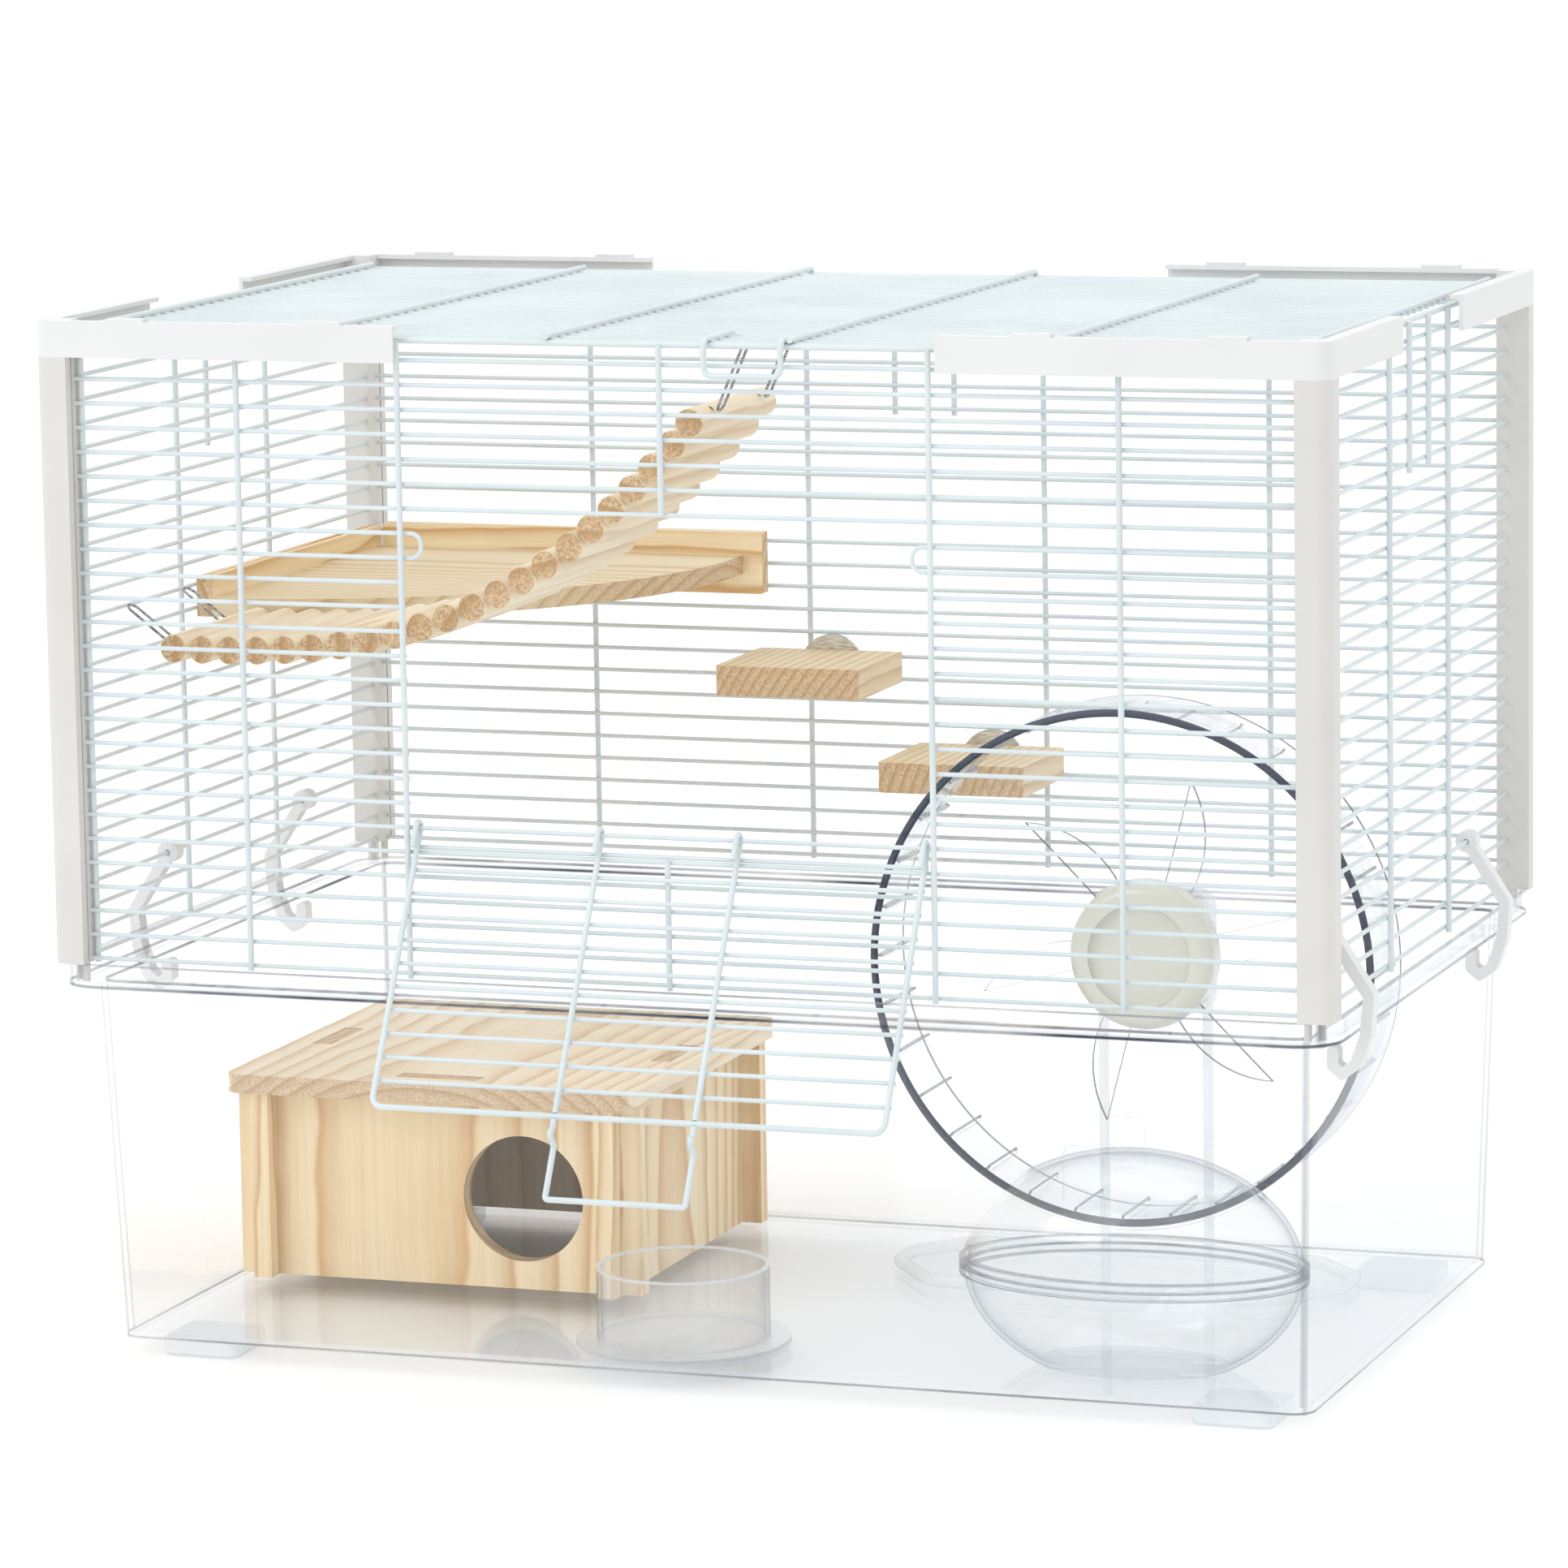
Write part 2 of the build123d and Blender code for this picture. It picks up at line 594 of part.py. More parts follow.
# ---- jump blocks ----
def make_jump_blocks():
    """Two wooden steps, each bolted through the back panel with a big washer and a wing nut."""
    bolt_places = {"upper": (-47.0, 281.5), "lower": (34.5, 237.5)}
    half_width = 36.5
    bolt_radius = 2.5
    front_y = 105.0
    back_y = 171.0
    washers_at = {16: (back_y, back_y + 2), 8: (179, 181)}
    bolts = []
    washers = []
    nuts = []
    for name, (x, z) in bolt_places.items():
        board = block((x - half_width, x + half_width), (front_y, back_y), (z - 6, z + 8.5))
        board = fillet(board.edges().filter_by(Axis.Z), 2)
        parts["jump_block_" + name] = board - disc_along_y(x, z, bolt_radius, (145, back_y + 1))
        bolts.append(disc_along_y(x, z, bolt_radius, (146, 184.5)))
        bolt_hole = disc_along_y(x, z, bolt_radius, (back_y - 1, 190))
        for radius, y in washers_at.items():
            washers.append(disc_along_y(x, z, radius, y) - bolt_hole)
        nut = disc_along_y(x, z, 4.5, (181, 184.8))
        for side in (-1, 1):
            nut += Pos(x + side * 8, 183, z) * Box(9, 1.8, 7)
        nuts.append(nut - bolt_hole)
    parts["jump_block_bolts"] = Compound(bolts)
    parts["jump_block_washers"] = Compound(washers)
    parts["jump_block_wing_nuts"] = Compound(nuts)


# ---- wooden house ----
def make_house():
    """Four lapped walls whose tenons come up through the loose roof."""
    x0, x1 = HOUSE_X
    y0, y1 = HOUSE_Y
    top = HOUSE_TOP_Z - RUNNING_GAP
    z = (FLOOR_Z, top)
    middle_x = (x0 + x1) / 2
    middle_y = (y0 + y1) / 2
    half_z = (FLOOR_Z + top) / 2
    wall_ys = {"front": (y0 + 10, y0 + 10 + BOARD), "back": (y1 - 10 - BOARD, y1 - 10)}
    wall_xs = {"left": (x0 + 10, x0 + 10 + BOARD), "right": (x1 - 10 - BOARD, x1 - 10)}
    roof_top = HOUSE_TOP_Z + BOARD
    tenon_z = (top, roof_top - 0.2)
    roof = block((x0 - 1.5, x1 + 1.5), (y0 - 4.5, y1 + 3.5), (HOUSE_TOP_Z, roof_top))
    roof = fillet(roof.edges().filter_by(Axis.Z), 8)
    slot_half = TENON / 2 + ROOF_SLOT_GAP
    # Front and back walls cross the side walls in half-height laps
    for name, y in wall_ys.items():
        wall = block((x0, x1), y, z)
        wall += block((middle_x - TENON / 2, middle_x + TENON / 2), y, tenon_z)
        for x in wall_xs.values():
            wall -= block(x, y, (half_z, top))
        if name == "front":
            wall -= disc_along_y(-134.5, 54.2, DOORWAY_RADIUS, (y[0] - 1, y[1] + 1))
        parts["house_" + name + "_wall"] = wall
        slot_y = (y[0] - ROOF_SLOT_GAP, y[1] + ROOF_SLOT_GAP)
        roof -= block((middle_x - slot_half, middle_x + slot_half), slot_y, (HOUSE_TOP_Z, roof_top))
    for name, x in wall_xs.items():
        wall = block(x, (y0, y1), z)
        wall += block(x, (middle_y - TENON / 2, middle_y + TENON / 2), tenon_z)
        for y in wall_ys.values():
            wall -= block(x, y, (FLOOR_Z, half_z))
        parts["house_" + name + "_wall"] = wall
        slot_x = (x[0] - ROOF_SLOT_GAP, x[1] + ROOF_SLOT_GAP)
        roof -= block(slot_x, (middle_y - slot_half, middle_y + slot_half), (HOUSE_TOP_Z, roof_top))
    parts["house_roof"] = roof


# ---- food bowl ----
def make_bowl():
    """Straight sided cup on a wide flat foot."""
    base_z = FLOOR_Z + RUNNING_GAP
    floor_z = base_z + 2
    foot_radius = 49.0
    outer = 39.5
    inner = 37.5
    profile = make_face(
        Polyline(
            (0, base_z),
            (foot_radius, base_z),
            (foot_radius, floor_z),
            (outer, floor_z),
            (outer, BOWL_TOP_Z),
            (inner, BOWL_TOP_Z),
            (inner, floor_z),
            (0, floor_z),
            close=True,
        )
    )
    parts["food_bowl"] = Pos(BOWL_X, BOWL_Y, 0) * revolve(Plane.XZ * profile, Axis.Z)


# ---- sand bath ----
def egg(inset, height, z):
    """Egg shape round the bath's seam, kept only between the two given levels."""
    half_x = BATH_HALF[0] - inset
    half_y = BATH_HALF[1] - inset
    whole = scale(Sphere(1), by=(half_x, half_y, height - inset))
    keep = block((-BATH_HALF[0], BATH_HALF[0]), (-BATH_HALF[1], BATH_HALF[1]), z)
    return (Pos(0, 0, BATH_SEAM_Z) * whole) & keep


def bath_band(z):
    """Thick band round one half of the bath, next to the seam."""
    outer = extrude(Ellipse(BATH_HALF[0] + 2, BATH_HALF[1] + 2), BATH_BAND)
    inner = extrude(Ellipse(BATH_HALF[0] - BATH_WALL, BATH_HALF[1] - BATH_WALL), BATH_BAND)
    return Pos(0, 0, z) * (outer - inner)


def make_bath_bowl():
    bottom_z = FLOOR_Z + 1
    bowl = egg(0, BATH_BOWL_CURVE, (bottom_z, BATH_SEAM_Z)) + bath_band(BATH_SEAM_Z - BATH_BAND)
    bowl -= egg(BATH_WALL, BATH_BOWL_CURVE, (bottom_z + BATH_WALL, BATH_SEAM_Z + 1))
    for x in (-30, 30):
        for y in (-12, 12):
            bowl += Pos(x, y, FLOOR_Z + 0.8) * Box(14, 6, 1.6)
    parts["bath_bowl"] = Pos(BATH_X, BATH_Y, 0) * bowl


def make_bath_cover():
    height = BATH_TOP_Z - BATH_SEAM_Z
    base_z = BATH_SEAM_Z + RUNNING_GAP
    cover = egg(0, height, (base_z, BATH_TOP_Z)) + bath_band(base_z)
    for y in (-33, 33):
        ear = block((-22, -4), (y - 1.5, y + 1.5), (BATH_TOP_Z - 22, BATH_TOP_Z + 7.5))
        cover += fillet(ear.edges().filter_by(Axis.Y).group_by(Axis.Z)[-1], 5)
    cover -= egg(BATH_WALL, height, (BATH_SEAM_Z, BATH_TOP_Z))
    # Round way in through the end wall
    doorway = Rot(0, 90, 0) * Cylinder(BATH_DOORWAY_RADIUS, 70)
    cover -= Pos(-BATH_HALF[0], 0, BATH_DOORWAY_Z) * doorway
    parts["bath_cover"] = Pos(BATH_X, BATH_Y, 0) * cover


# ---- exercise wheel ----
def ring_along_y(radius, bore, y):
    ring = disc_along_y(WHEEL_X, WHEEL_Z, radius, y)
    return ring - disc_along_y(WHEEL_X, WHEEL_Z, bore, (y[0] - 1, y[1] + 1))


def turned_about_axle(shape, degrees):
    """Stand a piece drawn about the origin on the wheel's axis and turn it round that axis."""
    return Pos(WHEEL_X, 0, WHEEL_Z) * Rot(0, degrees, 0) * shape


def make_wheel_drum(disc_front, tread):
    bore = tread - WHEEL_SKIN
    drum = ring_along_y(tread, bore, (WHEEL_FRONT_Y, disc_front))
    drum += ring_along_y(WHEEL_RADIUS, bore, (WHEEL_FRONT_Y, WHEEL_FRONT_Y + 3))
    rib_length = disc_front - WHEEL_FRONT_Y - 6
    rib_y = (disc_front + WHEEL_FRONT_Y) / 2 + 3
    rib = Pos(bore - 0.6, rib_y, 0) * Box(2.4, rib_length, 2.4)
    for index in range(WHEEL_RIBS):
        drum += turned_about_axle(rib, index * 360 / WHEEL_RIBS)
    parts["wheel_drum"] = drum


def leaf_cutter():
    """Curved leaf that starts under the hub cap and ends in a point."""
    tip = (81, 15)
    near_side = ThreePointArc((31, -6), (58, -3), tip)
    far_side = ThreePointArc(tip, (54, 10), (31, 6))
    base = Line((31, 6), (31, -6))
    face = make_face(near_side + far_side + base)
    return Pos(0, WHEEL_BACK_Y, 0) * (Plane.XZ * extrude(face, 10, both=True))


def make_wheel():
    disc_front = WHEEL_BACK_Y - WHEEL_SKIN
    tread = WHEEL_RADIUS - 1.5
    make_wheel_drum(disc_front, tread)
    disc = ring_along_y(tread, HUB_RADIUS, (disc_front, WHEEL_BACK_Y))
    for leaf in range(WHEEL_LEAVES):
        disc -= turned_about_axle(leaf_cutter(), -(5 + leaf * 360 / WHEEL_LEAVES))
    parts["wheel_back_disc"] = disc
    # The dished cap over the bearing
    dish_y = CAP_FACE_Y + 4
    bearing_front = dish_y + 6
    cap = disc_along_y(WHEEL_X, WHEEL_Z, CAP_RADIUS, (CAP_FACE_Y, disc_front))
    cap = fillet(cap.faces().sort_by(Axis.Y)[0].edges(), 7)
    dish = disc_along_y(WHEEL_X, WHEEL_Z, CAP_RADIUS - 10, (CAP_FACE_Y - 1, dish_y))
    cap -= fillet(dish.faces().sort_by(Axis.Y)[-1].edges(), 3)
    cap -= disc_along_y(WHEEL_X, WHEEL_Z, HUB_RADIUS, (bearing_front, disc_front + 1))
    parts["wheel_hub_cap"] = cap
    parts["wheel_bearing"] = ring_along_y(HUB_RADIUS, AXLE_RADIUS + AXLE_FIT, (bearing_front, WHEEL_BACK_Y))
    parts["wheel_axle"] = disc_along_y(WHEEL_X, WHEEL_Z, AXLE_RADIUS, (bearing_front + 1, 21))


def make_stand():
    """Square plate on two legs that stand on a wide loop of tube."""
    plate_y = (21.0, 32.0)
    leg_y = sum(plate_y) / 2
    foot_z = FLOOR_Z + STAND_TUBE / 2
    half_plate = 28.0
    plate_x = (WHEEL_X - half_plate, WHEEL_X + half_plate)
    plate = block(plate_x, plate_y, (WHEEL_Z - half_plate, WHEEL_Z + half_plate))
    plate = fillet(plate.edges().filter_by(Axis.Y), 8)
    for x in (WHEEL_X - 25, WHEEL_X + 25):
        foot_end = (x, leg_y, foot_z + STAND_TUBE / 2)
        plate += round_bar(foot_end, (x, leg_y, WHEEL_Z - half_plate + 8), STAND_LEG)
    parts["wheel_stand"] = plate
    left = 20.0
    right = 238.0
    loop = [
        (left + 27, leg_y),
        (left, 62),
        (left, 84),
        (left + 25, 112),
        (right - 25, 112),
        (right, 84),
        (right, 62),
        (right - 27, leg_y),
    ]
    parts["wheel_stand_foot"] = closed_wire([(x, y, foot_z) for x, y in loop], STAND_TUBE, 12)


def build_cage():
    make_tub()
    make_feet()
    make_front_panel()
    make_guide_loops()
    make_back_panel()
    make_side_panel("left_panel", -1)
    make_side_panel("right_panel", 1)
    make_corners()
    make_lid()
    make_lid_hinge_loops()
    make_lid_latch()
    make_door()
    make_latches()
    make_shelf()
    make_bridge()
    make_jump_blocks()
    make_house()
    make_bowl()
    make_bath_bowl()
    make_bath_cover()
    make_wheel()
    make_stand()


def write_parts():
    """Centre the whole model over the origin and write one file per piece."""
    os.makedirs("parts", exist_ok=True)
    boxes = [shape.bounding_box() for shape in parts.values()]
    shift = -(min(box.min.Y for box in boxes) + max(box.max.Y for box in boxes)) / 2
    print("moved along Y by", round(shift, 4))
    for name, shape in parts.items():
        export_step(Pos(0, shift, 0) * shape, "parts/" + name + ".step")


build_cage()
write_parts()
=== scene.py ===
import math

import bmesh
import bpy
from mathutils import Matrix, Vector


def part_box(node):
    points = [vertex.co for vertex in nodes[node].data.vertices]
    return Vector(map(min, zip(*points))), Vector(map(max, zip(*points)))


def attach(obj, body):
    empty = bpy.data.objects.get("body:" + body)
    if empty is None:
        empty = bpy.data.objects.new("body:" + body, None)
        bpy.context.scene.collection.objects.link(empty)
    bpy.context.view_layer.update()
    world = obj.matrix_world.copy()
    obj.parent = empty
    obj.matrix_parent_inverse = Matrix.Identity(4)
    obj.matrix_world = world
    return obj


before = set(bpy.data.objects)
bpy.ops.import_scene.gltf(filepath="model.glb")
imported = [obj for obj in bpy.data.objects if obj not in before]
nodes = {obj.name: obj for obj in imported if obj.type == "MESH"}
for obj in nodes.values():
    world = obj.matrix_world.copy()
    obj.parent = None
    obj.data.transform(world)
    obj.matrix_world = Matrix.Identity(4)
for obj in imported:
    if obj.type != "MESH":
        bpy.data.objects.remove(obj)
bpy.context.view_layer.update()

# Linear colours
CLEAR_TINT = (0.994, 0.996, 0.998)
CLEAR_EDGE = (0.42, 0.46, 0.52)
SHEET_EDGE = (0.84, 0.87, 0.90)
# Painted edge shade: colours of the dark lines that stand for the edges of clear plastic
NAVY_EDGE_SHADE = (0.022, 0.034, 0.062)
GREY_EDGE_SHADE = (0.2, 0.22, 0.25)
PINE = ((0.93, 0.78, 0.53), (0.70, 0.44, 0.20))
# The roof's pine is painted paler than the walls' pine: painted light on its top face
LIT_ROOF_PINE = ((0.94, 0.83, 0.65), (0.76, 0.55, 0.33))
SHELF_PINE = ((0.80, 0.68, 0.48), (0.62, 0.45, 0.26))
ROD_PINE = ((0.90, 0.80, 0.63), (0.74, 0.58, 0.40))
# Pale painted edge shade for the clear bowl's lip and foot
PALE_EDGE_SHADE = (0.72, 0.75, 0.78)

# Metres
TUB_FLOOR_TOP = 0.0116  # just above the floor's upper face
LINE_FADE = 0.0003
SEAM_LINE = 0.0005
WHEEL_BORE_INSET = 0.004
RIM_LINE_INSET = 0.0032
RIM_LINE_DEPTH = 0.002
RIM_LINE_THICKNESS = 0.0018
CAGE_MIDDLE = (0, 0, 0.2)

WHEEL_RIBS = 32
SKIN_SHARE_FACE_ON = 0.035
SKIN_SHARE_EDGE_ON = 0.55
KEY_POWER = 24.0
TOP_POWER = 12.0
AIR_BRIGHTNESS = 1.05


# ---- node tree helpers ----
def add(tree, kind, inputs=None, **settings):
    """Adds a shader node. inputs maps a socket's name or number to a value or to another socket."""
    node = tree.nodes.new(kind)
    for name, value in settings.items():
        setattr(node, name, value)
    for key, value in (inputs or {}).items():
        if isinstance(value, bpy.types.NodeSocket):
            tree.links.new(value, node.inputs[key])
        else:
            node.inputs[key].default_value = value
    return node


def maths(tree, operation, first, second=0.0):
    return add(tree, "ShaderNodeMath", {0: first, 1: second}, operation=operation).outputs[0]


def distance(tree, first, second):
    """Length of the line whose two sides are given."""
    first_square = maths(tree, "MULTIPLY", first, first)
    second_square = maths(tree, "MULTIPLY", second, second)
    return maths(tree, "SQRT", maths(tree, "ADD", first_square, second_square))


def spread(tree, value, source, target):
    """Maps the source range onto the target range, held at both ends."""
    limits = {0: value, 1: source[0], 2: source[1], 3: target[0], 4: target[1]}
    return add(tree, "ShaderNodeMapRange", limits).outputs[0]


def ramp(tree, factor, low, high):
    """Colour that goes from one (position, colour) stop to another."""
    node = add(tree, "ShaderNodeValToRGB", {0: factor})
    for element, (position, colour) in zip(node.color_ramp.elements, (low, high)):
        element.position = position
        element.color = (*colour, 1.0)
    return node.outputs[0]


def mix_colour(tree, factor, first, second, blend="MIX"):
    node = add(tree, "ShaderNodeMix", {0: factor}, data_type="RGBA", blend_type=blend)
    for index, value in ((6, first), (7, second)):
        if isinstance(value, bpy.types.NodeSocket):
            tree.links.new(value, node.inputs[index])
        else:
            node.inputs[index].default_value = (*value, 1.0)
    return node.outputs[2]


def mix_shader(tree, factor, first, second):
    return add(tree, "ShaderNodeMixShader", {0: factor, 1: first, 2: second}).outputs[0]


def noise(tree, place, scale, detail=3.0, roughness=0.5, stretch=None):
    """Noise in object space; stretch scales the place along each axis first."""
    if stretch:
        place = add(tree, "ShaderNodeMapping", {0: place, 3: stretch}).outputs[0]
    inputs = {"Vector": place, "Scale": scale, "Detail": detail, "Roughness": roughness}
    return add(tree, "ShaderNodeTexNoise", inputs).outputs["Fac"]


def new_material(name):
    material = bpy.data.materials.new(name)
    material.use_nodes = True
    tree = material.node_tree
    tree.nodes.clear()
    place = add(tree, "ShaderNodeTexCoord").outputs["Object"]
    return material, tree, place


def bump(tree, height, strength, distance):
    inputs = {"Height": height, "Strength": strength, "Distance": distance}
    return add(tree, "ShaderNodeBump", inputs).outputs[0]


def finish_material(tree, shader):
    add(tree, "ShaderNodeOutputMaterial", {"Surface": shader})


def split(tree, vector):
    return add(tree, "ShaderNodeSeparateXYZ", {0: vector}).outputs[:3]


def band(tree, value, low, high, soft):
    """1 between low and high, fading over soft at both ends."""
    rise = spread(tree, value, (low - soft, low + soft), (0.0, 1.0))
    fall = spread(tree, value, (high - soft, high + soft), (1.0, 0.0))
    return maths(tree, "MULTIPLY", rise, fall)


def faces_along(tree, axis, low, high):
    """1 on faces that look along the axis, 0 on those that look across it."""
    normal = split(tree, add(tree, "ShaderNodeTexCoord").outputs["Normal"])[axis]
    return spread(tree, maths(tree, "ABSOLUTE", normal), (low, high), (0.0, 1.0))


# ---- opaque materials ----
def moulded(name, colour, shade, roughness, grain=0.15, coat=0.0):
    """Moulded plastic or powder coat: mottled between shade and colour, with a fine orange peel."""
    material, tree, place = new_material(name)
    cloud = noise(tree, place, 18.0, 4.0)
    peel = noise(tree, place, 900.0, 2.0)
    inputs = {
        "Base Color": ramp(tree, cloud, (0.3, shade), (0.7, colour)),
        "Roughness": spread(tree, cloud, (0.0, 1.0), (roughness * 0.85, roughness * 1.2)),
        "Normal": bump(tree, peel, grain, 0.0002),
        "Coat Weight": coat,
    }
    finish_material(tree, add(tree, "ShaderNodeBsdfPrincipled", inputs).outputs[0])
    return material


def steel(name, dark, light, roughness):
    """Zinc plated steel with fine drawing marks."""
    material, tree, place = new_material(name)
    marks = noise(tree, place, 300.0, 3.0, stretch=(1.0, 1.0, 8.0))
    inputs = {
        "Base Color": ramp(tree, marks, (0.35, dark), (0.65, light)),
        "Metallic": 1.0,
        "Roughness": spread(tree, marks, (0.0, 1.0), (roughness * 0.7, roughness * 1.5)),
        "Normal": bump(tree, marks, 0.1, 0.0002),
    }
    finish_material(tree, add(tree, "ShaderNodeBsdfPrincipled", inputs).outputs[0])
    return material


def growth_rings(tree, place, axis, pith, width):
    """0 in the pale early wood, rising to 1 in the narrow late wood of each ring about the pith."""
    along = [0.35 if i == axis else 1.4 for i in range(3)]
    wander = noise(tree, place, 3.0, 2.0, stretch=along)
    wander_reach = 0.07
    wobble = maths(tree, "MULTIPLY", maths(tree, "SUBTRACT", wander, 0.5), wander_reach)
    places = split(tree, place)
    across = [places[i] for i in range(3) if i != axis]
    first = maths(tree, "ADD", maths(tree, "SUBTRACT", across[0], pith[0]), wobble)
    second = maths(tree, "SUBTRACT", across[1], pith[1])
    rings = maths(tree, "DIVIDE", distance(tree, first, second), width)
    width_change = 0.9
    uneven = maths(tree, "MULTIPLY", noise(tree, place, 14.0, 2.0), width_change)
    phase = maths(tree, "FRACT", maths(tree, "ADD", rings, uneven))
    rise = spread(tree, phase, (0.25, 0.88), (0.0, 1.0))
    fall = spread(tree, phase, (0.9, 1.0), (1.0, 0.0))
    return maths(tree, "MULTIPLY", maths(tree, "MULTIPLY", rise, rise), fall)


def timber(name, grain_axis, pith, colours, ring=0.0065, end_dark=0.75):
    """Planed pine as a solid: rings about a pith line that runs along the grain, and fibre streaks."""
    material, tree, place = new_material(name)
    axis = "XYZ".index(grain_axis)
    pale, late_colour = colours
    late = growth_rings(tree, place, axis, pith, ring)
    fibre_stretch = [12.0 if i == axis else 420.0 for i in range(3)]
    cloud_stretch = [0.5 if i == axis else 2.0 for i in range(3)]
    fibre = noise(tree, place, 1.0, 4.0, 0.7, stretch=fibre_stretch)
    cloud = noise(tree, place, 7.0, 3.0, stretch=cloud_stretch)
    deeper = [channel * share for channel, share in zip(pale, (0.96, 0.91, 0.82))]
    base = ramp(tree, cloud, (0.35, pale), (0.7, deeper))
    base = mix_colour(tree, late, base, late_colour)
    streak = ramp(tree, fibre, (0.3, (0.86, 0.82, 0.76)), (0.6, (1.0, 1.0, 1.0)))
    base = mix_colour(tree, 0.6, base, streak, "MULTIPLY")
    # The ends, where the fibres are cut across, are darker and pitted
    end = faces_along(tree, axis, 0.6, 0.9)
    pits = noise(tree, place, 900.0, 3.0, 0.7)
    cut = ramp(tree, pits, (0.35, (0.40, 0.25, 0.13)), (0.62, (0.75, 0.54, 0.33)))
    cut = mix_colour(tree, maths(tree, "MULTIPLY", late, 0.8), cut, (0.44, 0.25, 0.10))
    base = mix_colour(tree, maths(tree, "MULTIPLY", end, end_dark), base, cut)
    ridges = maths(tree, "ADD", maths(tree, "MULTIPLY", fibre, 0.7), maths(tree, "MULTIPLY", late, 0.3))
    end_pits = maths(tree, "MULTIPLY", maths(tree, "MULTIPLY", pits, end), 1.5)
    relief = maths(tree, "ADD", ridges, end_pits)
    inputs = {
        "Base Color": base,
        "Roughness": spread(tree, fibre, (0.0, 1.0), (0.62, 0.46)),
        "Normal": bump(tree, relief, 0.25, 0.0004),
    }
    finish_material(tree, add(tree, "ShaderNodeBsdfPrincipled", inputs).outputs[0])
    return material


# ---- clear plastic ----
def clear_shader(tree, place, edge, edge_power, haze=0.0, mirror=None):
    """See-through face on, darker where the wall is seen along its length, with a glossy skin.

    haze is the share of milky plastic; mirror is an extra share of gloss.
    """
    wave = noise(tree, place, 22.0, 2.0)
    normal = bump(tree, wave, 0.08, 0.002)
    facing = add(tree, "ShaderNodeLayerWeight", {"Blend": 0.5, "Normal": normal}).outputs["Facing"]
    through = mix_colour(tree, maths(tree, "POWER", facing, edge_power), CLEAR_TINT, edge)
    see = add(tree, "ShaderNodeBsdfTransparent", {"Color": through}).outputs[0]
    milk = add(tree, "ShaderNodeBsdfDiffuse", {"Color": (0.87, 0.9, 0.915, 1.0)}).outputs[0]
    body = mix_shader(tree, haze, see, milk)
    scuffs = noise(tree, place, 140.0, 3.0)
    roughness = spread(tree, scuffs, (0.4, 0.8), (0.02, 0.08))
    skin = {"Color": (0.95, 0.965, 0.98, 1.0), "Roughness": roughness, "Normal": normal}
    glossy = add(tree, "ShaderNodeBsdfGlossy", skin).outputs[0]
    # The same share from both sides of the wall: a wall this thin has no total reflection inside it
    share = maths(tree, "MULTIPLY", maths(tree, "POWER", facing, 5.0), SKIN_SHARE_EDGE_ON)
    share = maths(tree, "ADD", share, SKIN_SHARE_FACE_ON)
    if mirror:
        share = maths(tree, "MAXIMUM", share, mirror)
    return mix_shader(tree, share, body, glossy)


def paint_edge_shade(tree, shader, mask, colour):
    """Painted shade: a dark edge line mixed over the surface, for the look of a clear wall seen through
    its whole width.
    """
    line = add(tree, "ShaderNodeBsdfPrincipled", {"Base Color": (*colour, 1.0), "Roughness": 0.15})
    return mix_shader(tree, mask, shader, line.outputs[0])


def finish_clear(tree, shader):
    """Clear plastic lets the light through to what stands behind it."""
    shadow = add(tree, "ShaderNodeLightPath").outputs["Is Shadow Ray"]
    open_air = add(tree, "ShaderNodeBsdfTransparent", {"Color": (1.0, 1.0, 1.0, 1.0)}).outputs[0]
    finish_material(tree, mix_shader(tree, shadow, shader, open_air))


def level_shade_line(tree, place, low, high, strength):
    """Mask for a line of painted edge shade round the piece between two heights, broken up along its
    length.
    """
    line = band(tree, split(tree, place)[2], low, high, LINE_FADE)
    broken = spread(tree, noise(tree, place, 9.0), (0.35, 0.6), (0.45 * strength, strength))
    return maths(tree, "MULTIPLY", line, broken)


def clear(name, edge=CLEAR_EDGE, edge_power=9.0, haze=0.0):
    material, tree, place = new_material(name)
    finish_clear(tree, clear_shader(tree, place, edge, edge_power, haze))
    return material


def tub_plastic():
    """The tub's floor mirrors what stands on it; its rim, foot and corners get painted dark edge shade.
    """
    material, tree, place = new_material("tub_clear")
    level = band(tree, split(tree, place)[2], 0.0, TUB_FLOOR_TOP, 0.0004)
    haze = maths(tree, "MULTIPLY", level, 0.05)
    mirror = maths(tree, "MULTIPLY", level, 0.12)
    shader = clear_shader(tree, place, SHEET_EDGE, 8.0, haze, mirror)
    # Painted shade: a grey line down each rounded vertical corner of the clear wall
    across_x = split(tree, add(tree, "ShaderNodeTexCoord").outputs["Normal"])[0]
    corner_shade = band(tree, maths(tree, "ABSOLUTE", across_x), 0.62, 0.78, 0.04)
    shader = paint_edge_shade(tree, shader, maths(tree, "MULTIPLY", corner_shade, 0.35), GREY_EDGE_SHADE)
    # Painted shade: dark lines round the foot of the rim's side, the top of the rim and the foot of the
    # walls
    edge_shade_lines = (
        (0.1754, 0.1768, 1.0, NAVY_EDGE_SHADE),  # foot of the rim's side
        (0.1857, 0.1866, 0.6, GREY_EDGE_SHADE),  # top of the rim
        (0.0085, 0.0095, 0.9, GREY_EDGE_SHADE),  # foot of the walls
    )
    for low, high, strength, colour in edge_shade_lines:
        shader = paint_edge_shade(tree, shader, level_shade_line(tree, place, low, high, strength), colour)
    finish_clear(tree, shader)
    return material


